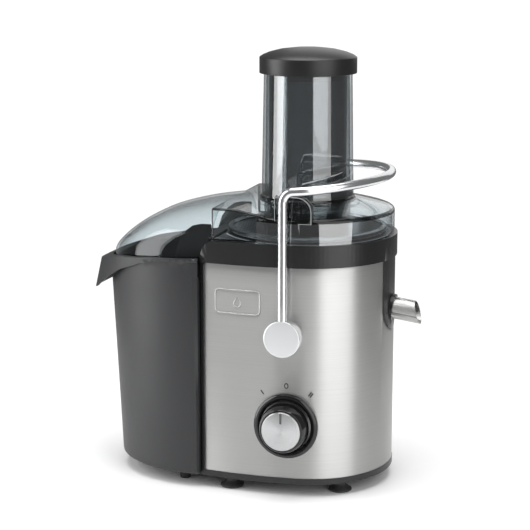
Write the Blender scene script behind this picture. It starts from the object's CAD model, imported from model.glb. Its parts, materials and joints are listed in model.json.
"""Centrifugal juicer: the visible pieces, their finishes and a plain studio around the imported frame."""

import json
import math

import bpy
from bpy.props import FloatProperty, FloatVectorProperty, PointerProperty
from bpy.types import Operator, Panel, PropertyGroup
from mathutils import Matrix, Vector


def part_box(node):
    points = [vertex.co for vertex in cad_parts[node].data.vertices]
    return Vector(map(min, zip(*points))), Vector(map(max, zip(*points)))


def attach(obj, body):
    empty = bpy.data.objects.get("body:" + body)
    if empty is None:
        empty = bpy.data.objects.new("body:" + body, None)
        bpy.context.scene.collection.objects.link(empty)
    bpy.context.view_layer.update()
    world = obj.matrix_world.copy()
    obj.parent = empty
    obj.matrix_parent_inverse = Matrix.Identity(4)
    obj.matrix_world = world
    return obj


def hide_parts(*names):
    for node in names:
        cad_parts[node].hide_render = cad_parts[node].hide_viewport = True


bl_info = {
    "name": "Centrifugal Juicer",
    "version": (1, 0, 0),
    "blender": (4, 5, 0),
    "location": "3D View > Sidebar > Juicer",
    "description": "Builds the visible pieces of a centrifugal juicer around its packed frame",
    "category": "Add Mesh",
}

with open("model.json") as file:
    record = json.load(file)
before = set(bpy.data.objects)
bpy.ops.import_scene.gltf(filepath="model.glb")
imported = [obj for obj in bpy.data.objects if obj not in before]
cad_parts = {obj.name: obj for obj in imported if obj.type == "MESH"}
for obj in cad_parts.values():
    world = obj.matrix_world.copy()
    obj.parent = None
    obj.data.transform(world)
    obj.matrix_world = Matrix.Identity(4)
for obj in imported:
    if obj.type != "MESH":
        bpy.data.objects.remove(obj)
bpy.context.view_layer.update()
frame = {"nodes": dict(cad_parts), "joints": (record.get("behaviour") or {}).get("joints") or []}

M = 0.001
FULL = 2 * math.pi
X, Y, Z = Vector((1, 0, 0)), Vector((0, 1, 0)), Vector((0, 0, 1))

shaft_low, shaft_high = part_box("motor_shaft")
AXIS = Vector(((shaft_low.x + shaft_high.x) / 2, (shaft_low.y + shaft_high.y) / 2, 0))


# ---- Properties ------------------------------------------------------------------------------
def length(label, millimetres, text):
    return FloatProperty(name=label, description=text, default=millimetres * M, unit="LENGTH", precision=5)


def angle(label, degrees, text):
    return FloatProperty(name=label, description=text, default=math.radians(degrees), subtype="ANGLE")


def colour(label, rgb, text):
    return FloatVectorProperty(name=label, description=text, default=rgb, subtype="COLOR", size=3,
                               min=0, max=1)


class JuicerBase(PropertyGroup):
    end_x: length("End centre", 3.0, "Centre of the round right end, from the motor axis")
    end_radius: length("End radius", 81.6, "Radius of the round right end in plan")
    front_radius: length("Front radius", 353.5, "Radius of the shallow front and rear in plan")
    tangent: angle("Tangent angle", 84.58, "Where the round end runs into the front")
    panel_left: length("Panel left edge", -80.5, "Left edge of the steel panel")
    sheet: length("Sheet", 0.7, "Thickness of the steel panel")
    tongue_half: length("Tongue half width", 25.4, "Half width of the slot for the collector's tongue")


class JuicerLid(PropertyGroup):
    step_low: length("Step bottom", 272.0, "Underside of the ring at the foot of the chute")
    step_high: length("Step top", 277.0, "Top of the ring at the foot of the chute")
    chute_low_radius: length("Chute foot radius", 44.1, "Outside of the chute above the ring")
    chute_top_radius: length("Chute top radius", 42.0, "Outside of the chute at its mouth")
    neck_radius: length("Neck radius", 41.5, "Outside of the chute below the ring")
    chute_wall: length("Chute wall", 2.6, "Wall of the chute")
    pusher_radius: length("Pusher radius", 37.0, "Outside of the pusher")
    cap_radius: length("Cap radius", 46.3, "Outside of the pusher's cap")
    drum_radius: length("Drum radius", 83.9, "Outside of the drum")
    wall: length("Wall", 2.5, "Wall of the lid")
    box_left: length("Box left", -72.0, "Left face of the square shoulders")
    box_half: length("Box half width", 79.0, "Half width of the square shoulders")
    box_top: length("Box top", 272.4, "Top of the square shoulders")
    hood_end: length("Hood end", -193.5, "Left end of the hood")
    hood_centre: length("Hood centre", -90.0, "Where the hood starts to narrow")
    hood_top: length("Hood top", 275.0, "Top of the hood at the drum")
    saddle_top: length("Saddle top", 287.0, "Top of the saddles under the bail")


class JuicerClamp(PropertyGroup):
    rod_radius: length("Rod radius", 4.3, "Radius of the bail rod")
    arm_y: length("Arm offset", 94.0, "Distance of the arms from the centre plane")
    corner_z: length("Corner height", 293.0, "Height of the bends at the top of the arms")
    corner_radius: length("Corner radius", 11.0, "Bend radius at the top of the arms")
    rise: angle("Rise", 4.5, "Slope of the loop")
    nose: length("Nose", 79.0, "Reach of the loop in front of the arms")
    side_radius: length("Side radius", 35.0, "Bend radius at both sides of the loop")


class JuicerDial(PropertyGroup):
    mark_radius: length("Mark circle", 38.8, "Distance of the dial marks from the knob's centre")
    mark_size: length("Mark size", 4.6, "Height of the dial marks")
    swing: angle("Swing", 36.5, "Angle between the dial marks")
    emblem_x: length("Emblem X", -46.0, "Middle of the emblem, from the motor axis")
    emblem_z: length("Emblem height", 185.8, "Middle of the emblem above the table")
    emblem_long: length("Emblem length", 46.0, "Length of the raised rim")
    emblem_high: length("Emblem rise", 24.0, "Height of the raised rim")
    emblem_corner: length("Emblem corner", 5.0, "Corner radius of the raised rim")


class JuicerFinish(PropertyGroup):
    steel: colour("Steel", (0.60, 0.60, 0.59), "Brushed steel panel")
    plastic: colour("Black plastic", (0.006, 0.006, 0.0065), "Collector ring, base and cap")
    charcoal: colour("Charcoal plastic", (0.0165, 0.0172, 0.0187), "Pulp container")
    smoke: colour("Smoke plastic", (0.90, 0.93, 0.94), "Lid and chute")
    pusher: colour("Dark smoke", (0.45, 0.465, 0.48), "Pusher tube")


class JuicerStudio(PropertyGroup):
    azimuth: angle("Azimuth", 16.0, "Camera's turn to the right of the front")
    elevation: angle("Elevation", 11.75, "Camera's height angle")
    distance: length("Distance", 1588.3, "Camera to target")
    target_x: length("Target X", -42.55, "Point looked at, from the motor axis")
    target_z: length("Target height", 204.7, "Height looked at")
    lens: FloatProperty(name="Lens", description="Focal length in millimetres", default=110.44)
    floor: length("Floor radius", 700.0, "Radius of the round floor")
    ambient: FloatProperty(name="Ambient", description="Brightness of the room", default=0.2)
    backdrop: FloatProperty(name="Backdrop", description="Brightness of the backdrop", default=1.05)


# ---- Drawing by hand: one vertex, extruded and spun ---------------------------------------------
def mm(*pairs):
    """Pairs of millimetres as pairs of metres."""
    return [(a * M, b * M) for a, b in pairs]


def at(x, y, z):
    """Point measured from the motor axis and the table."""
    return AXIS + Vector((x, y, z))


def deselect():
    if bpy.context.object and bpy.context.object.mode != "OBJECT":
        bpy.ops.object.mode_set(mode="OBJECT")
    bpy.ops.object.select_all(action="DESELECT")


def begin(name, point):
    """New piece in edit mode that is one selected vertex at the point."""
    deselect()
    bpy.ops.mesh.primitive_plane_add(size=M, location=(0, 0, 0))
    piece = bpy.context.object
    piece.name = piece.data.name = name
    bpy.ops.object.mode_set(mode="EDIT")
    bpy.ops.mesh.select_all(action="SELECT")
    bpy.ops.mesh.merge(type="CENTER")
    bpy.ops.transform.translate(value=point)
    return piece


def push(offset):
    """Extrude what is selected by an offset."""
    bpy.ops.mesh.extrude_region_move(TRANSFORM_OT_translate={"value": offset})


def spin(centre, axis, turn, steps):
    """Extrude what is selected along an arc that turns anticlockwise about the axis."""
    bpy.ops.mesh.spin(steps=steps, angle=-turn, center=centre, axis=axis, use_normal_flip=False)


def close_up(piece):
    """Merge doubles, point the faces outwards and leave edit mode."""
    bpy.ops.mesh.select_all(action="SELECT")
    bpy.ops.mesh.remove_doubles(threshold=0.02 * M)
    bpy.ops.mesh.normals_make_consistent(inside=False)
    bpy.ops.object.mode_set(mode="OBJECT")
    return piece


def lathe(name, profile, origin=None, axis=Z, steps=96):
    """Turned piece: (radius, height) points along an axis through origin."""
    origin = at(0, 0, 0) if origin is None else origin
    side = Z if axis == Y else Y.cross(axis).normalized()
    spots = [origin + side * r + axis * h for r, h in profile]
    piece = begin(name, spots[0])
    for before, after in zip(spots, spots[1:]):
        push(after - before)
    bpy.ops.mesh.select_all(action="SELECT")
    spin(origin, axis, FULL, steps)
    return close_up(piece)


def prism(name, outline, low, high):
    """Solid between two planes across Y with an outline of (x, z) points."""
    spots = [at(x, low, z) for x, z in (*outline, outline[0])]
    piece = begin(name, spots[0])
    for before, after in zip(spots, spots[1:]):
        push(after - before)
    bpy.ops.mesh.select_all(action="SELECT")
    bpy.ops.mesh.remove_doubles(threshold=0.005 * M)
    bpy.ops.mesh.edge_face_add()
    push(Y * (high - low))
    return close_up(piece)


def rounded(points, steps):
    """Points on a smooth curve through the given ones."""
    padded = [2 * points[0] - points[1], *points, 2 * points[-1] - points[-2]]
    curve = []
    for a, b, c, d in zip(padded, padded[1:], padded[2:], padded[3:]):
        for k in range(steps):
            t = k / steps
            curve.append(b + (c - a) * t / 2 + (2 * a - 5 * b + 4 * c - d) * t * t / 2
                         + (3 * b - a - 3 * c + d) * t**3 / 2)
    return [*curve, points[-1]]


def arched(name, stations, power=0.66, steps=40):
    """Solid whose arched section goes from station to station: (x, half width, sill, top)."""
    x, half, sill, top = stations[0]
    spots = []
    for k in range(steps + 1):
        turn = math.pi * k / steps
        side = math.copysign(abs(math.cos(turn)) ** power, math.cos(turn)) * half
        spots.append(at(x, side, sill + max(math.sin(turn), 0) ** power * (top - sill)))
    piece = begin(name, spots[0])
    for before, after in zip(spots, (*spots[1:], spots[0])):
        push(after - before)
    bpy.ops.mesh.select_all(action="SELECT")
    bpy.ops.mesh.remove_doubles(threshold=0.005 * M)
    bpy.ops.mesh.edge_face_add()
    for before, after in zip(stations, stations[1:]):
        push(Vector((after[0] - before[0], 0, after[2] - before[2])))
        grow = (1, after[1] / before[1], (after[3] - after[2]) / (before[3] - before[2]))
        bpy.ops.transform.resize(value=grow, center_override=at(after[0], 0, after[2]))
    return close_up(piece)


def trace(name, spots, radius, closed=False):
    """Thin round bead along points."""
    spots = [*spots, spots[0]] if closed else list(spots)
    piece = begin(name, spots[0])
    for before, after in zip(spots, spots[1:]):
        push(after - before)
    bpy.ops.mesh.select_all(action="SELECT")
    bpy.ops.mesh.remove_doubles(threshold=0.005 * M)
    bpy.ops.object.mode_set(mode="OBJECT")
    bpy.ops.object.convert(target="CURVE")
    piece.data.bevel_depth = radius
    piece.data.bevel_resolution = 4
    piece.data.use_fill_caps = True
    bpy.ops.object.convert(target="MESH")
    smooth(piece, 50)
    return piece


def modify(piece, kind, **settings):
    """Add a modifier with its settings and apply it."""
    deselect()
    piece.select_set(True)
    bpy.context.view_layer.objects.active = piece
    modifier = piece.modifiers.new(kind.title(), kind)
    for key, value in settings.items():
        setattr(modifier, key, value)
    bpy.ops.object.modifier_apply(modifier=modifier.name)


def bevel(piece, width, segments=3, limit=30, material=-1):
    modify(piece, "BEVEL", width=width, segments=segments, limit_method="ANGLE", material=material,
           angle_limit=math.radians(limit), use_clamp_overlap=True, harden_normals=False)


def combine(piece, other, operation):
    """Join or cut a piece with another solid and delete that solid."""
    modify(piece, "BOOLEAN", operation=operation, object=other, solver="EXACT")
    bpy.data.objects.remove(other)


def cut_away(piece, cutter):
    combine(piece, cutter, "DIFFERENCE")


def coat(piece, *materials):
    """Replace a piece's materials; face indices stay."""
    kept = [face.material_index for face in piece.data.polygons]
    piece.data.materials.clear()
    for material in materials:
        piece.data.materials.append(material)
    piece.data.polygons.foreach_set("material_index", kept)


def slots(piece, count):
    """Empty material slots, so that joined pieces keep their slot numbers."""
    for _ in range(count):
        piece.data.materials.append(None)


def edge_faces(piece, test, index=1):
    """Another material on the faces whose middle, from the motor axis, passes the test."""
    for face in piece.data.polygons:
        if test(face.center - AXIS):
            face.material_index = index


def smooth(piece, limit=35, weigh=False):
    """Smooth shading up to an angle; weigh keeps the flats of a copied mesh flat."""
    deselect()
    piece.select_set(True)
    bpy.context.view_layer.objects.active = piece
    bpy.ops.object.shade_smooth_by_angle(angle=math.radians(limit), keep_sharp_edges=False)
    if weigh:
        modify(piece, "WEIGHTED_NORMAL", keep_sharp=True)


def finish(piece, materials, body, slot, *nodes):
    """Give a piece its materials, its body and the nodes it stands for."""
    coat(piece, *(materials if isinstance(materials, tuple) else (materials,)))
    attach(piece, body)
    if nodes:
        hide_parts(*nodes)
    return piece


def twin_of(piece, name, offset):
    """Copy with its own mesh, which is moved by an offset."""
    deselect()
    piece.select_set(True)
    bpy.context.view_layer.objects.active = piece
    bpy.ops.object.duplicate()
    twin = bpy.context.object
    twin.name = twin.data.name = name
    bpy.ops.object.mode_set(mode="EDIT")
    bpy.ops.mesh.select_all(action="SELECT")
    bpy.ops.transform.translate(value=offset)
    bpy.ops.object.mode_set(mode="OBJECT")
    return twin


def from_node(node, name):
    """Merged copy of a CAD node as a new piece."""
    deselect()
    piece = frame["nodes"][node].copy()
    piece.data = piece.data.copy()
    piece.name = piece.data.name = name
    piece.parent = None
    for key in list(piece.keys()):
        del piece[key]
    bpy.context.scene.collection.objects.link(piece)
    piece.select_set(True)
    bpy.context.view_layer.objects.active = piece
    bpy.ops.object.mode_set(mode="EDIT")
    bpy.ops.mesh.select_all(action="SELECT")
    bpy.ops.mesh.remove_doubles(threshold=0.002 * M)
    bpy.ops.object.mode_set(mode="OBJECT")
    return piece


# ---- Finishes ----------------------------------------------------------------------------------
class Finish:
    """Material built on one Principled shader with object-space textures."""

    def __init__(self, name, base, roughness, metallic=0.0, **sockets):
        self.material = bpy.data.materials.new(name)
        self.material.use_nodes = True
        self.nodes = self.material.node_tree.nodes
        self.links = self.material.node_tree.links
        self.shader = self.nodes["Principled BSDF"]
        self.set("Base Color", (*base, 1))
        self.set("Roughness", roughness)
        self.set("Metallic", metallic)
        for key, value in sockets.items():
            self.set(key.replace("_", " ").title(), value)
        self.coordinates = self.nodes.new("ShaderNodeTexCoord")

    def set(self, socket, value):
        self.shader.inputs[socket].default_value = value

    def place(self, scale=(1, 1, 1), move=(0, 0, 0)):
        mapping = self.nodes.new("ShaderNodeMapping")
        mapping.inputs["Scale"].default_value = scale
        mapping.inputs["Location"].default_value = move
        self.links.new(self.coordinates.outputs["Object"], mapping.inputs["Vector"])
        return mapping.outputs["Vector"]

    def noise(self, scale, detail=2.0, stretch=(1, 1, 1)):
        texture = self.nodes.new("ShaderNodeTexNoise")
        texture.inputs["Scale"].default_value = scale
        texture.inputs["Detail"].default_value = detail
        self.links.new(self.place(stretch), texture.inputs["Vector"])
        return texture.outputs["Fac"]

    def span(self, source, low, high, start=0.3, end=0.7):
        ramp = self.nodes.new("ShaderNodeMapRange")
        ramp.inputs["From Min"].default_value = start
        ramp.inputs["From Max"].default_value = end
        ramp.inputs["To Min"].default_value = low
        ramp.inputs["To Max"].default_value = high
        self.links.new(source, ramp.inputs["Value"])
        return ramp.outputs["Result"]

    def roughen(self, source, low, high):
        self.links.new(self.span(source, low, high), self.shader.inputs["Roughness"])

    def tint(self, source, dark, light):
        mix = self.nodes.new("ShaderNodeMix")
        mix.data_type = "RGBA"
        mix.inputs["A"].default_value = (*dark, 1)
        mix.inputs["B"].default_value = (*light, 1)
        self.links.new(self.span(source, 0, 1), mix.inputs["Factor"])
        self.links.new(mix.outputs["Result"], self.shader.inputs["Base Color"])

    def bump(self, source, strength, distance):
        node = self.nodes.new("ShaderNodeBump")
        node.inputs["Strength"].default_value = strength
        node.inputs["Distance"].default_value = distance
        self.links.new(source, node.inputs["Height"])
        self.links.new(node.outputs["Normal"], self.shader.inputs["Normal"])


def scaled(rgb, k):
    return tuple(min(1.0, c * k) for c in rgb)


def brushed(name, base, stretch, roughness=(0.46, 0.54), scale=3000):
    """Steel with fine scratches drawn out along the axes where stretch is small."""
    made = Finish(name, base, roughness[0], 1.0, anisotropic=0.95, anisotropic_rotation=0.25)
    grain = made.noise(scale, 4.0, stretch)
    made.roughen(grain, *roughness)
    made.tint(grain, scaled(base, 0.93), scaled(base, 1.04))
    made.bump(grain, 0.05, 0.02 * M)
    return made.material


def moulded(name, base, roughness, grain=2600, depth=0.02, strength=0.25):
    """Moulded plastic with a fine spark-eroded texture and slight unevenness in its sheen."""
    made = Finish(name, base, roughness)
    texture = made.noise(grain, 3.0)
    made.roughen(made.noise(14.0, 2.0), roughness - 0.04, roughness + 0.05)
    made.bump(texture, strength, depth * M)
    return made.material


def clear(name, tint, edge, head_on=0.03, roughness=0.01):
    """Thin tinted plastic: a face lets tinted light through, mirrors by its angle and darkens aslant."""
    material = bpy.data.materials.new(name)
    material.use_nodes = True
    nodes, links = material.node_tree.nodes, material.node_tree.links
    nodes.remove(nodes["Principled BSDF"])
    facing = nodes.new("ShaderNodeLayerWeight")
    facing.inputs["Blend"].default_value = 0.25
    colour_mix = nodes.new("ShaderNodeMix")
    colour_mix.data_type = "RGBA"
    colour_mix.inputs["A"].default_value = (*tint, 1)
    colour_mix.inputs["B"].default_value = (*edge, 1)
    links.new(facing.outputs["Facing"], colour_mix.inputs["Factor"])
    through = nodes.new("ShaderNodeBsdfTransparent")
    links.new(colour_mix.outputs["Result"], through.inputs["Color"])
    mirror = nodes.new("ShaderNodeBsdfGlossy")
    mirror.inputs["Color"].default_value = (1, 1, 1, 1)
    place = nodes.new("ShaderNodeTexCoord")
    flow = nodes.new("ShaderNodeTexNoise")
    flow.inputs["Scale"].default_value = 22
    links.new(place.outputs["Object"], flow.inputs["Vector"])
    haze = nodes.new("ShaderNodeMapRange")
    haze.inputs["To Min"].default_value = roughness
    haze.inputs["To Max"].default_value = roughness + 0.04
    links.new(flow.outputs["Fac"], haze.inputs["Value"])
    links.new(haze.outputs["Result"], mirror.inputs["Roughness"])
    slant = nodes.new("ShaderNodeLayerWeight")
    slant.inputs["Blend"].default_value = 0.5
    steep = nodes.new("ShaderNodeMath")
    steep.operation = "POWER"
    steep.inputs[1].default_value = 5
    links.new(slant.outputs["Facing"], steep.inputs[0])
    share = nodes.new("ShaderNodeMapRange")
    share.inputs["To Min"].default_value = head_on
    share.inputs["To Max"].default_value = 0.9
    links.new(steep.outputs["Value"], share.inputs["Value"])
    blend = nodes.new("ShaderNodeMixShader")
    links.new(share.outputs["Result"], blend.inputs["Fac"])
    links.new(through.outputs["BSDF"], blend.inputs[1])
    links.new(mirror.outputs["BSDF"], blend.inputs[2])
    links.new(blend.outputs["Shader"], nodes["Material Output"].inputs["Surface"])
    return material


def plated(name, base, roughness, metal=1.0):
    """Chrome plate with a faint haze."""
    made = Finish(name, base, roughness, metal)
    made.roughen(made.noise(90.0, 2.0), roughness, roughness + 0.05)
    return made.material


def spun_metal(name, base, centre):
    """Turned aluminium: fine rings about an axis along Y through centre."""
    made = Finish(name, base, 0.28, 1.0, anisotropic=0.8, anisotropic_rotation=0.25)
    offset = made.place(move=(-centre.x, -centre.y, -centre.z))
    flat = made.nodes.new("ShaderNodeSeparateXYZ")
    made.links.new(offset, flat.inputs["Vector"])
    joined = made.nodes.new("ShaderNodeCombineXYZ")
    made.links.new(flat.outputs["X"], joined.inputs["X"])
    made.links.new(flat.outputs["Z"], joined.inputs["Y"])
    size = made.nodes.new("ShaderNodeVectorMath")
    size.operation = "LENGTH"
    made.links.new(joined.outputs["Vector"], size.inputs[0])
    rings = made.nodes.new("ShaderNodeTexNoise")
    rings.noise_dimensions = "1D"
    rings.inputs["Scale"].default_value = 3200
    rings.inputs["Detail"].default_value = 3
    made.links.new(size.outputs["Value"], rings.inputs["W"])
    made.roughen(rings.outputs["Fac"], 0.2, 0.36)
    made.tint(rings.outputs["Fac"], scaled(base, 0.82), scaled(base, 1.1))
    made.bump(rings.outputs["Fac"], 0.25, 0.04 * M)
    tangent = made.nodes.new("ShaderNodeTangent")
    tangent.direction_type = "RADIAL"
    tangent.axis = "Y"
    made.links.new(tangent.outputs["Tangent"], made.shader.inputs["Tangent"])
    return made.material


def perforated(name, base):
    """Steel sheet pierced all over with small holes, drawn as dark dots."""
    made = Finish(name, base, 0.32, 1.0)
    dots = made.nodes.new("ShaderNodeTexVoronoi")
    dots.inputs["Scale"].default_value = 620
    dots.inputs["Randomness"].default_value = 0.15
    made.links.new(made.place(), dots.inputs["Vector"])
    made.tint(made.span(dots.outputs["Distance"], 0, 1, 0.28, 0.42), (0.03, 0.03, 0.03), base)
    made.bump(dots.outputs["Distance"], 0.4, 0.2 * M)
    return made.material


FINISHES = {}

# The lid's finishes in the order of its material slots
LID_COATS = ("smoke", "smoke_edge", "saddle", "light_edge", "smoke_wall")
DARK_EDGE, SADDLE, LIGHT_EDGE, DRUM_WALL = range(1, 5)


def make_finishes(tone):
    """All finishes, by name."""
    FINISHES.update(
        steel=brushed("brushed_steel", tone.steel, (0.003, 0.003, 1)),
        spout=brushed("spout_steel", scaled(tone.steel, 0.85), (1, 0.02, 0.02), (0.36, 0.44), 2200),
        plastic=moulded("black_plastic", tone.plastic, 0.33),
        cap=moulded("cap_plastic", tone.plastic, 0.36, 3200),
        charcoal=moulded("charcoal_plastic", tone.charcoal, 0.46, 2200, 0.03),
        gloss=moulded("gloss_plastic", (0.006, 0.006, 0.0065), 0.12, 400, 0.004, 0.05),
        rubber=moulded("black_rubber", (0.022, 0.022, 0.023), 0.62, 1500),
        nylon=moulded("natural_nylon", (0.62, 0.62, 0.58), 0.45),
        seal=moulded("grey_silicone", (0.30, 0.31, 0.32), 0.5),
        smoke=clear("smoke_plastic", tone.smoke, scaled(tone.smoke, 0.82)),
        smoke_edge=clear("smoke_edge", scaled(tone.smoke, 0.14), scaled(tone.smoke, 0.08)),
        smoke_wall=clear("smoke_wall", tone.smoke, scaled(tone.smoke, 0.82), 0.17),
        saddle=clear("smoke_saddle", scaled(tone.smoke, 0.62), scaled(tone.smoke, 0.42)),
        tube=clear("smoke_tube", scaled(tone.smoke, 0.92), scaled(tone.smoke, 0.5), 0.10),
        pusher=clear("dark_smoke_plastic", tone.pusher, scaled(tone.pusher, 0.6), 0.12),
        chrome=plated("bright_chrome", (0.72, 0.73, 0.74), 0.2),
        satin=plated("satin_chrome", (0.66, 0.67, 0.68), 0.42, 0.6),
        zinc=plated("zinc_plate", (0.52, 0.53, 0.55), 0.3),
        cast=brushed("cast_aluminium", (0.5, 0.5, 0.51), (1, 1, 1), (0.4, 0.55), 300),
        cast_dark=plated("dark_steel", (0.30, 0.31, 0.32), 0.22),
        copper=brushed("copper_wire", (0.62, 0.27, 0.13), (1, 1, 1), (0.3, 0.45), 700),
        lamination=brushed("laminated_steel", (0.30, 0.30, 0.32), (0.01, 0.01, 1), (0.35, 0.5), 1400),
        mesh=perforated("perforated_steel", (0.24, 0.245, 0.25)),
        ink=moulded("printed_ink", (0.012, 0.012, 0.012), 0.5),
        grey_line=moulded("grey_line", (0.06, 0.062, 0.065), 0.4),
        light_edge=moulded("light_edge", (0.34, 0.35, 0.36), 0.25),
    )


NODE_FINISHES = {
    "plastic": ("base_housing", "housing_shoulders", "splash_collar", "motor_deck", "bottom_cover",
                "drive_coupling", "juice_collector"),
    "rubber": ("cable_gland", "motor_grommets", "carbon_brushes"),
    "nylon": ("terminal_block", "brush_holders", "clamp_bushes", "cooling_fan", "basket_hub",
              "interlock_cam"),
    "seal": ("shaft_seal", "collector_seal"),
    "gloss": ("suppression_capacitor", "safety_microswitch", "rotary_switch"),
    "zinc": ("housing_screws", "motor_screws", "motor_tie_bolts", "upper_bearing", "lower_bearing",
             "brush_springs", "motor_shaft", "clamp_pin_front", "clamp_pin_rear", "switch_shaft"),
    "cast": ("motor_upper_bracket", "motor_lower_bracket"),
    "copper": ("field_coils", "armature_windings", "commutator"),
    "lamination": ("stator_core", "armature_core"),
    "mesh": ("filter_mesh", "grater_disc"),
    "cast_dark": ("basket_rim",),
}


# ---- Operators ---------------------------------------------------------------------------------
def towards(turn, rise):
    """Direction that is turned to the right of the front and raised above the table."""
    flat = math.cos(rise)
    return Vector((math.sin(turn) * flat, -math.cos(turn) * flat, math.sin(rise)))


class JUICER_OT_stage(Operator):
    """Floor, lights and camera"""
    bl_idname = "juicer.stage"
    bl_label = "Stage"

    def execute(self, context):
        studio = context.scene.juicer_studio
        deselect()
        bpy.ops.mesh.primitive_circle_add(vertices=96, radius=studio.floor, fill_type="NGON")
        floor = context.object
        floor.name = "floor"
        bpy.ops.object.mode_set(mode="EDIT")
        bpy.ops.transform.translate(value=(0, 0, -0.05 * M))
        bpy.ops.object.mode_set(mode="OBJECT")
        paint = Finish("floor_paint", (0.94, 0.94, 0.94), 0.6)
        floor.data.materials.append(paint.material)

        world = bpy.data.worlds.new("studio")
        context.scene.world = world
        world.use_nodes = True
        nodes, links = world.node_tree.nodes, world.node_tree.links
        path = nodes.new("ShaderNodeLightPath")
        seen = nodes.new("ShaderNodeMath")
        seen.operation = "MAXIMUM"
        links.new(path.outputs["Is Camera Ray"], seen.inputs[0])
        links.new(path.outputs["Is Transmission Ray"], seen.inputs[1])
        glow = nodes.new("ShaderNodeMapRange")
        glow.inputs["To Min"].default_value = studio.ambient
        glow.inputs["To Max"].default_value = studio.backdrop
        links.new(seen.outputs[0], glow.inputs["Value"])
        links.new(glow.outputs["Result"], nodes["Background"].inputs["Strength"])
        nodes["Background"].inputs["Color"].default_value = (1, 1, 1, 1)

        target = at(studio.target_x, 0, studio.target_z)
        # turn and rise in degrees, distance and size in metres
        for name, turn, rise, away, size, radiance in (
            ("softbox_right", 52, 14, 1.4, (1.15, 1.7), 2.3),
            ("softbox_left", -66, 14, 1.4, (0.8, 1.7), 4.6),
            ("softbox_top", 0, 86, 1.7, (1.6, 1.6), 4.5),
            ("fill_rear", 172, 24, 1.9, (1.6, 1.3), 0.9),
        ):
            place = towards(math.radians(turn), math.radians(rise))
            bpy.ops.object.light_add(type="AREA", location=target + place * away)
            lamp = context.object
            lamp.name = lamp.data.name = name
            lamp.data.shape = "RECTANGLE"
            lamp.data.size, lamp.data.size_y = size
            lamp.data.energy = radiance * math.pi * size[0] * size[1]
            lamp.rotation_euler = place.to_track_quat("Z", "Y").to_euler()
            lamp.visible_camera = False

        outward = towards(studio.azimuth, studio.elevation)
        bpy.ops.object.camera_add(location=target + outward * studio.distance)
        camera = context.object
        camera.rotation_euler = outward.to_track_quat("Z", "Y").to_euler()
        camera.data.lens = studio.lens
        camera.data.sensor_width = 36.0
        camera.data.clip_end = 20.0
        context.scene.camera = camera
        context.scene.view_settings.view_transform = "Standard"
        return {"FINISHED"}


class JUICER_OT_inner_parts(Operator):
    """Finishes of the pieces that are kept as the frame has them"""
    bl_idname = "juicer.inner_parts"
    bl_label = "Inner parts"

    def execute(self, context):
        for key, nodes in NODE_FINISHES.items():
            for node in nodes:
                kept = frame["nodes"][node]
                kept.data.materials.clear()
                kept.data.materials.append(FINISHES[key])
        return {"FINISHED"}


def front_of(base, x):
    """Distance of the front face from the centre plane at x."""
    reach = base.front_radius - base.end_radius
    centre_x = base.end_x - reach * math.cos(base.tangent)
    centre_y = reach * math.sin(base.tangent)
    return math.sqrt(base.front_radius**2 - (x - centre_x) ** 2) - centre_y


def on_panel(base, x, z):
    """Point on the front face of the panel."""
    return at(x, -front_of(base, x), z)


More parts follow.
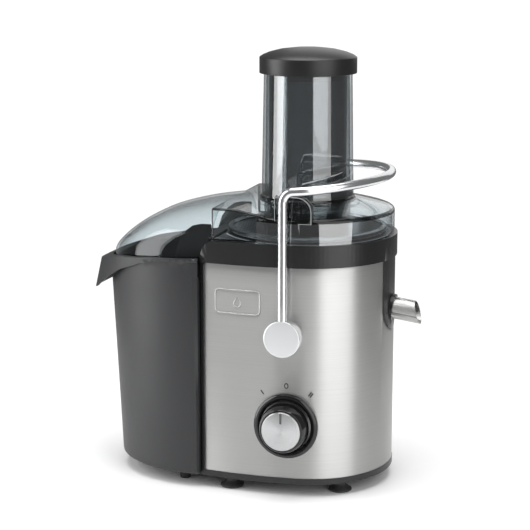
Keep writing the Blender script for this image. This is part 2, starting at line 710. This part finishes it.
class JUICER_OT_panel(Operator):
    """Steel panel wrapped round the front, right end and rear, with its emblem"""
    bl_idname = "juicer.panel"
    bl_label = "Steel panel"

    def execute(self, context):
        base = context.scene.juicer_base
        low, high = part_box("steel_wrap")
        reach = base.front_radius - base.end_radius
        centre_x = base.end_x - reach * math.cos(base.tangent)
        centre_y = reach * math.sin(base.tangent)
        side = math.acos((base.panel_left - centre_x) / base.front_radius)
        left_y = front_of(base, base.panel_left)
        panel = begin("steel_panel", at(base.panel_left, -left_y, low.z))
        spin(at(centre_x, centre_y, low.z), Z, side - base.tangent, 24)
        spin(at(base.end_x, 0, low.z), Z, 2 * base.tangent, 96)
        spin(at(centre_x, -centre_y, low.z), Z, side - base.tangent, 24)
        bpy.ops.mesh.select_all(action="SELECT")
        push(Z * (high.z - low.z))
        close_up(panel)
        modify(panel, "SOLIDIFY", thickness=base.sheet, offset=-1.0)
        half, deep, wall_x = base.tongue_half, 30 * M, 85 * M
        slot_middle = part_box("collector_ring")[0].z - 0.4 * M + half
        slot = lathe("slot", [(0, -deep), (half, -deep), (half, deep), (0, deep)],
                     at(wall_x, 0, slot_middle), X, 64)
        cut_away(panel, slot)
        deselect()
        room = high.z + 10 * M - slot_middle
        bpy.ops.mesh.primitive_cube_add(size=1, location=at(wall_x, 0, slot_middle + room / 2),
                                        scale=(2 * deep, 2 * half, room))
        cut_away(panel, context.object)
        bevel(panel, 0.15 * M, 2, 60)
        smooth(panel)
        finish(panel, FINISHES["steel"], "base", "brushed_steel_panel", "steel_wrap")

        dial = context.scene.juicer_dial
        bead = 0.75 * M
        corner = dial.emblem_corner - bead
        rim = []
        for k, (side, rise) in enumerate(((1, 1), (-1, 1), (-1, -1), (1, -1))):
            middle_x = dial.emblem_x + side * (dial.emblem_long / 2 - dial.emblem_corner)
            middle_z = dial.emblem_z + rise * (dial.emblem_high / 2 - dial.emblem_corner)
            for step in range(7):
                turn = math.radians(90 * k + 15 * step)
                rim.append(on_panel(base, middle_x + corner * math.cos(turn),
                                    middle_z + corner * math.sin(turn)))
            if k in (0, 2):
                for step in range(1, 8):
                    x = middle_x - side * (dial.emblem_long - 2 * dial.emblem_corner) * step / 8
                    rim.append(on_panel(base, x, dial.emblem_z + rise * (dial.emblem_high / 2 - bead)))
        emblem_rim = trace("emblem_rim", rim, bead, True)
        finish(emblem_rim, FINISHES["steel"], "base", "brushed_steel_panel")
        drop_radius, drop_tip, drop_low = 3.4 * M, 5.6 * M, 1.5 * M
        drop = [on_panel(base, dial.emblem_x, dial.emblem_z + drop_tip)]
        for k in range(17):
            turn = math.radians(151 + 238 * k / 16)
            drop.append(on_panel(base, dial.emblem_x + drop_radius * math.cos(turn),
                                 dial.emblem_z + drop_radius * math.sin(turn) - drop_low))
        droplet = trace("emblem_drop", drop, 0.5 * M, True)
        finish(droplet, FINISHES["steel"], "base", "brushed_steel_panel")
        return {"FINISHED"}


class JUICER_OT_collector(Operator):
    """Black collector ring with its tongue and pulp guide"""
    bl_idname = "juicer.collector"
    bl_label = "Juice collector"

    def execute(self, context):
        ring = from_node("collector_ring", "deck_ring")
        smooth(ring, weigh=True)
        finish(ring, FINISHES["plastic"], "base", "black_plastic", "collector_ring")
        return {"FINISHED"}


class JUICER_OT_lid(Operator):
    """Clear lid with its hood"""
    bl_idname = "juicer.lid"
    bl_label = "Lid"

    def execute(self, context):
        sizes = context.scene.juicer_lid
        foot, wall, radius = 242 * M, sizes.wall, sizes.drum_radius
        turned_in = 262.6 * M
        crown = mm((45.9, 275.0), (52, 273.7), (58, 272.3), (64, 270.9), (70, 269.4), (75, 268.1),
                   (79, 266.9))
        corner = mm((2.2, 265.9), (0.9, 264.9), (0.2, 263.6), (0, 262.2))
        rounding = [(radius - inwards, z) for inwards, z in corner]
        middle = 276 * M
        drum = lathe("clear_lid", [(0, middle), (sizes.neck_radius, middle), *crown, *rounding,
                                   (radius, foot), (0, foot)], steps=144)
        slots(drum, len(LID_COATS))
        edge_faces(drum, lambda p: p.z < turned_in and p.xy.length > radius - 0.6 * M, DRUM_WALL)
        edge_faces(drum, lambda p: p.z > turned_in and p.xy.length > radius - 2.4 * M, DARK_EDGE)

        inner_x, top = -20 * M, sizes.box_top
        ramp = [(inner_x, top - 5.4 * M), (-34 * M, top - 2.6 * M), (-48 * M, top),
                (sizes.box_left, top + 0.4 * M)]
        box = prism("box", [(inner_x, foot), *ramp, (sizes.box_left, foot)], -sizes.box_half, sizes.box_half)
        slots(box, len(LID_COATS))
        bevel(box, 2.0 * M, 3, 50, DARK_EDGE)
        combine(drum, box, "UNION")
        combine(drum, self.hood(sizes, "hood", 0.0, 0.0), "UNION")
        for sign in (-1, 1):
            saddle = self.saddle(sizes, sign)
            slots(saddle, len(LID_COATS))
            edge_faces(saddle, lambda p: p.z > 263 * M, SADDLE)
            bevel(saddle, 0.6 * M, 2, 50, LIGHT_EDGE)
            combine(drum, saddle, "UNION")

        ceiling, shelf = 268.4 * M, 271.4 * M
        under_crown = [(r, z - wall) for r, z in crown[1:]]
        cut_away(drum, lathe("room", [
            (0, ceiling), (50 * M, ceiling), (50 * M, shelf), *under_crown, (radius - wall, 261.4 * M),
            (radius - wall, foot - M), (0, foot - M)], steps=144))
        under = [(x, z - wall) for x, z in ramp]
        under[-1] = (sizes.box_left - M, under[-1][1])
        cut_away(drum, prism("room", [(inner_x, foot - M), *under, (sizes.box_left - M, foot - M)],
                             wall - sizes.box_half, sizes.box_half - wall))
        cut_away(drum, self.hood(sizes, "room", wall, 3 * M))
        below = mm((0, 190), (0, 242.2), (-72, 242.2), (-77.9, 239), (-81.8, 233.8), (-83.8, 226),
                   (-83.8, 190))
        below = prism("room", below, -100 * M, 100 * M)
        low_cut = lathe("low", [(0, 180 * M), (86 * M, 180 * M), (86 * M, foot), (0, foot)], steps=96)
        cut_away(drum, below)
        cut_away(drum, low_cut)
        seat = mm((0, 260), (41.6, 260), (41.6, 272), (45.9, 272), (45.9, 290), (0, 290))
        cut_away(drum, lathe("step", seat, steps=144))
        smooth(drum, 32)
        finish(drum, tuple(FINISHES[name] for name in LID_COATS), "base", "smoke_plastic", "lid")
        return {"FINISHED"}

    @staticmethod
    def saddle(sizes, sign):
        """Fin with a rounded front end, which stands on the lid under the bail."""
        foot, top, curve = 262 * M, sizes.saddle_top, 14
        outline = [(-10 * M, foot), (-10 * M, top), (11 * M, top)]
        for turn in (0.26, 0.52, 0.79, 1.05, 1.31, 1.57):
            outline.append(((11 + curve * math.sin(turn)) * M, top - (curve - curve * math.cos(turn)) * M))
        return prism("saddle", [*outline, (25 * M, foot)], sign * 73 * M, sign * 83 * M)

    @staticmethod
    def hood(sizes, name, inset, drop):
        """Hood volume, moved inwards by inset, its sill lowered by drop."""
        reach = sizes.hood_centre - sizes.hood_end
        ridge = ((-30, 0), (-60, 0.4), (-90, 4.1), (-115, 9.3), (-138, 16.2), (-157, 25.6), (-173, 36.8),
                 (-184, 46.6), (-190, 53.5), (-193, 58.2))
        stations = []
        for x, fall in rounded([Vector(point) for point in ridge], 4):
            x *= M
            if inset and x < -186 * M:
                continue
            near = max(0.0, sizes.hood_centre - x + 0.4 * inset) / reach
            half = max(sizes.box_half * math.sqrt(max(0.0, 1 - near * near)) - inset, 3 * M)
            sill = 219 * M + (x + 84 * M) * 0.055 - drop
            stations.append((x, half, sill, max(sizes.hood_top - fall * M - inset, sill + 1.2 * M)))
        return arched(name, stations)


class JUICER_OT_chute(Operator):
    """Feed chute, pusher tube and pusher cap"""
    bl_idname = "juicer.chute"
    bl_label = "Chute and pusher"

    def execute(self, context):
        lid = context.scene.juicer_lid
        low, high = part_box("feed_chute")
        ring = lid.chute_low_radius + 1.5 * M
        chute = lathe("clear_chute", [
            (lid.neck_radius - 1 * M, low.z), (lid.neck_radius, lid.step_low), (ring, lid.step_low),
            (ring, lid.step_high - 1.2 * M), (lid.chute_low_radius, lid.step_high),
            (lid.chute_top_radius, high.z), (lid.chute_top_radius - lid.chute_wall, high.z),
            (lid.chute_low_radius - 3 * M, lid.step_high + 2 * M),
            (lid.neck_radius - lid.chute_wall, lid.step_low), (lid.neck_radius - 3.2 * M, low.z),
            (lid.neck_radius - 1 * M, low.z)], steps=128)
        bevel(chute, 0.5 * M, 3)
        smooth(chute)
        slots(chute, 2)
        edge_faces(chute, lambda p: (p.z < lid.step_high - 0.1 * M
                                     and p.xy.length > lid.neck_radius + 0.2 * M))
        finish(chute, (FINISHES["tube"], FINISHES["smoke_edge"]), "base", "smoke_plastic", "feed_chute")

        low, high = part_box("pusher_tube")
        pusher_wall = 2.2 * M
        outer, inner = lid.pusher_radius, lid.pusher_radius - pusher_wall
        tube = lathe("pusher", [(0, low.z), (outer, low.z), (outer, high.z), (inner, high.z),
                                (inner, low.z + 2.5 * M), (0, low.z + 2.5 * M)], steps=128)
        bevel(tube, 0.8 * M, 3)
        smooth(tube)
        finish(tube, FINISHES["pusher"], "pusher", "smoke_dark", "pusher_tube")

        low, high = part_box("pusher_cap")
        rim, wall = lid.cap_radius, 2.5 * M
        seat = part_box("feed_chute")[1].z + 0.1 * M
        shoulder = seat + 15 * M
        dome = [(r, high.z - fall) for r, fall in mm((0, 0), (14, 0.5), (27, 2.1), (37, 4.6), (43, 7.0))]
        cap = lathe("cap", [
            *dome, (rim, shoulder), (rim, seat), (rim - wall, seat), (rim - wall, shoulder - 4 * M),
            (inner, shoulder - 4 * M), (inner, low.z), (inner - pusher_wall, low.z),
            (inner - pusher_wall, shoulder - 2 * M), (0, shoulder + 2 * M)], steps=128)
        bevel(cap, 0.5 * M, 3, 25)
        smooth(cap, 40)
        finish(cap, FINISHES["cap"], "pusher", "cap_black", "pusher_cap")
        return {"FINISHED"}


class JUICER_OT_clamp(Operator):
    """Chrome bail and its two pivot hubs"""
    bl_idname = "juicer.clamp"
    bl_label = "Clamp"

    def execute(self, context):
        clamp = context.scene.juicer_clamp
        pivot = Vector([j for j in frame["joints"] if j["name"] == "clamp_swing"][0]["pos_m"])
        slope = Vector((math.cos(clamp.rise), 0, math.sin(clamp.rise)))
        normal = Vector((-math.sin(clamp.rise), 0, math.cos(clamp.rise)))
        lean = clamp.corner_radius * math.tan((math.pi / 2 - clamp.rise) / 2)
        bend = math.pi / 2 - clamp.rise
        reach = clamp.nose - lean
        small = clamp.side_radius
        big = (clamp.arm_y**2 + reach**2 - 2 * clamp.arm_y * small) / (2 * (reach - small))
        sweep = math.atan2(clamp.arm_y - small, big - reach)
        corner = Vector((pivot.x, AXIS.y, clamp.corner_z))
        start = corner + slope * lean
        elbow = corner - Z * lean
        foot = Vector((pivot.x, AXIS.y, pivot.z + 7 * M))
        front = -Y * clamp.arm_y
        rod = begin("bail_rod", foot + front)
        push(elbow - foot)
        spin(elbow + front + X * clamp.corner_radius, Y, bend, 14)
        spin(start - Y * (clamp.arm_y - small), normal, math.pi / 2 - sweep, 20)
        spin(start + slope * (reach - big), normal, 2 * sweep, 40)
        spin(start + Y * (clamp.arm_y - small), normal, math.pi / 2 - sweep, 20)
        spin(elbow - front + X * clamp.corner_radius, Y, -bend, 14)
        push(foot - elbow)
        bpy.ops.mesh.select_all(action="SELECT")
        bpy.ops.mesh.remove_doubles(threshold=0.02 * M)
        bpy.ops.object.mode_set(mode="OBJECT")
        bpy.ops.object.convert(target="CURVE")
        rod.data.bevel_depth = clamp.rod_radius
        rod.data.bevel_resolution = 10
        rod.data.use_fill_caps = True
        bpy.ops.object.convert(target="MESH")
        smooth(rod, 50)
        finish(rod, FINISHES["chrome"], "clamp", "chrome_rod", "clamp_rod")

        for side, sign in (("front", -1), ("rear", 1)):
            low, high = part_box("clamp_hub_" + side)
            inner, outer = sorted((abs(low.y - AXIS.y), abs(high.y - AXIS.y)))
            radius = (high.x - low.x) / 2
            centre = Vector(((low.x + high.x) / 2, AXIS.y, (low.z + high.z) / 2))
            profile = [(0, inner), (radius - 0.8 * M, inner), (radius - 0.8 * M, inner + 3 * M),
                       (radius, inner + 3.4 * M), (radius, outer - 0.6 * M), (radius - 1.2 * M, outer),
                       (0, outer)]
            hub = lathe("pivot_hub_" + side, [(r, sign * h) for r, h in profile], centre, Y)
            bevel(hub, 0.5 * M, 3, 25)
            smooth(hub, 35)
            slots(hub, 2)
            edge_faces(hub, lambda p: abs(p.y) < outer - 0.6 * M)
            finish(hub, (FINISHES["satin"], FINISHES["chrome"]), "clamp", "satin_chrome",
                   "clamp_hub_" + side)
        return {"FINISHED"}


class JUICER_OT_knob(Operator):
    """Speed knob, its metal face, the bezel ring and the dial marks"""
    bl_idname = "juicer.knob"
    bl_label = "Speed knob"

    def execute(self, context):
        base = context.scene.juicer_base
        low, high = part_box("knob_body")
        centre = Vector(((low.x + high.x) / 2, AXIS.y, (low.z + high.z) / 2))
        radius = (high.x - low.x) / 2
        front, back = AXIS.y - low.y, AXIS.y - high.y
        face_low, face_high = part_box("knob_face")
        face = (face_high.x - face_low.x) / 2
        recess = 1.9 * M - front
        body = lathe("knob_skirt", [
            (0, -back), (radius, -back), (radius - 0.5 * M, -back - 4 * M),
            (radius - 1.6 * M, 3.4 * M - front), (face + 1.6 * M, -front + 0.4 * M),
            (face + 0.9 * M, -front), (face, -front), (face, recess), (0, recess)], centre, Y)
        bevel(body, 0.4 * M, 3, 25)
        smooth(body)
        finish(body, FINISHES["gloss"], "knob", "black_plastic", "knob_body")

        tip = AXIS.y - face_low.y
        disc_radius = face - 0.1 * M
        disc = lathe("knob_disc", [
            (0, recess), (disc_radius, recess), (disc_radius, 0.7 * M - tip), (face - 0.8 * M, -tip),
            (0, -tip)], centre, Y)
        bevel(disc, 0.25 * M, 2, 25)
        smooth(disc)
        spun = spun_metal("spun_aluminium", (0.50, 0.505, 0.51), centre)
        finish(disc, spun, "knob", "spun_aluminium", "knob_face")

        low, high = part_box("knob_bezel")
        ring_radius = (high.x - low.x) / 2
        proud = AXIS.y - low.y
        under = front_of(base, centre.x - AXIS.x) - 1 * M
        hole = radius + 0.8 * M
        ring = lathe("bezel_ring", [
            (ring_radius, -under), (ring_radius, 1.6 * M - proud), (ring_radius - 2.4 * M, -proud),
            (radius + 3 * M, 0.5 * M - proud), (hole, 2.2 * M - proud), (hole, -under),
            (ring_radius, -under)], centre, Y)
        bevel(ring, 0.5 * M, 3, 25)
        smooth(ring)
        finish(ring, FINISHES["gloss"], "base", "gloss_black", "knob_bezel")

        dial = context.scene.juicer_dial
        middle = Vector((centre.x - AXIS.x, centre.z))
        half = dial.mark_size / 2
        for name, turn, offsets in (("mark_one", -dial.swing, (0,)), ("mark_two", dial.swing, (-1, 1))):
            out = Vector((math.sin(turn), math.cos(turn)))
            across = Vector((math.cos(turn), -math.sin(turn)))
            for k, offset in enumerate(offsets):
                spot = middle + out * dial.mark_radius + across * offset * M
                ends = [spot + out * reach for reach in (-half, 0, half)]
                mark = trace(name + "_" + str(k + 1), [on_panel(base, x, z) for x, z in ends], 0.55 * M)
                finish(mark, FINISHES["ink"], "base", "black_plastic")
        zero_half, zero_rise = 1.6 * M, 2.3 * M
        oval = []
        for k in range(20):
            turn = math.radians(18 * k)
            oval.append(on_panel(base, middle.x + zero_half * math.cos(turn),
                                 middle.y + dial.mark_radius + zero_rise * math.sin(turn)))
        mark = trace("mark_zero", oval, 0.5 * M, True)
        finish(mark, FINISHES["ink"], "base", "black_plastic")
        line = [Vector((centre.x, face_low.y + 0.65 * M, centre.z + face - inwards))
                for inwards in (0.8 * M, 6 * M, 11 * M)]
        pointer = trace("knob_pointer", line, 1.3 * M)
        finish(pointer, FINISHES["grey_line"], "knob", "spun_aluminium")
        return {"FINISHED"}


class JUICER_OT_container(Operator):
    """Pulp container with its rim flange"""
    bl_idname = "juicer.container"
    bl_label = "Pulp container"

    def execute(self, context):
        body = from_node("pulp_container", "pulp_bin")
        smooth(body, weigh=True)
        finish(body, FINISHES["charcoal"], "container", "charcoal_plastic", "pulp_container")
        return {"FINISHED"}


class JUICER_OT_spout(Operator):
    """Steel juice spout"""
    bl_idname = "juicer.spout"
    bl_label = "Juice spout"

    def execute(self, context):
        pipe = from_node("juice_spout", "spout_pipe")
        smooth(pipe)
        finish(pipe, FINISHES["spout"], "base", "spout_steel", "juice_spout")
        return {"FINISHED"}


class JUICER_OT_feet(Operator):
    """Four rubber feet"""
    bl_idname = "juicer.feet"
    bl_label = "Feet"

    def execute(self, context):
        places = ("front_left", "front_right", "rear_left", "rear_right")
        corners = [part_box("foot_" + place)[0] for place in places]
        low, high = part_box("foot_" + places[0])
        radius, stem, collar = (high.x - low.x) / 2, 6 * M, 8.5 * M
        top = 11.9 * M
        foot = lathe("rubber_foot_" + places[0], [
            (0, 1.2 * M), (radius - 3 * M, 1.2 * M), (radius - 1 * M, 0), (radius, 0.8 * M),
            (radius - 0.4 * M, 2 * M), (8 * M, 4 * M), (stem, 6 * M), (stem, 8.5 * M), (collar, 10.5 * M),
            (collar, top), (0, top)], Vector(((low.x + high.x) / 2, (low.y + high.y) / 2, 0)), Z, 48)
        bevel(foot, 0.4 * M, 2, 25)
        smooth(foot)
        feet = [foot]
        for place, corner in zip(places[1:], corners[1:]):
            feet.append(twin_of(foot, "rubber_foot_" + place, corner - low))
        for piece, place in zip(feet, places):
            finish(piece, FINISHES["rubber"], "base", "rubber_black", "foot_" + place)
        return {"FINISHED"}


class JUICER_PT_panel(Panel):
    """Lists the operators in the sidebar"""
    bl_idname = "JUICER_PT_panel"
    bl_label = "Juicer"
    bl_space_type = "VIEW_3D"
    bl_region_type = "UI"
    bl_category = "Juicer"

    def draw(self, context):
        for step in STEPS:
            self.layout.operator(step.bl_idname)


GROUPS = {
    "juicer_base": JuicerBase,
    "juicer_lid": JuicerLid,
    "juicer_clamp": JuicerClamp,
    "juicer_dial": JuicerDial,
    "juicer_finish": JuicerFinish,
    "juicer_studio": JuicerStudio,
}
STEPS = (JUICER_OT_stage, JUICER_OT_inner_parts, JUICER_OT_panel, JUICER_OT_collector, JUICER_OT_lid,
         JUICER_OT_chute, JUICER_OT_clamp, JUICER_OT_knob, JUICER_OT_container, JUICER_OT_spout,
         JUICER_OT_feet)


def register():
    for name, group in GROUPS.items():
        bpy.utils.register_class(group)
        setattr(bpy.types.Scene, name, PointerProperty(type=group))
    for item in (*STEPS, JUICER_PT_panel):
        bpy.utils.register_class(item)


def unregister():
    for item in (JUICER_PT_panel, *reversed(STEPS)):
        bpy.utils.unregister_class(item)
    for name, group in GROUPS.items():
        delattr(bpy.types.Scene, name)
        bpy.utils.unregister_class(group)


def main():
    register()
    make_finishes(bpy.context.scene.juicer_finish)
    for step in STEPS:
        group, call = step.bl_idname.split(".")
        getattr(getattr(bpy.ops, group), call)()
    deselect()


if __name__ == "__main__":
    main()
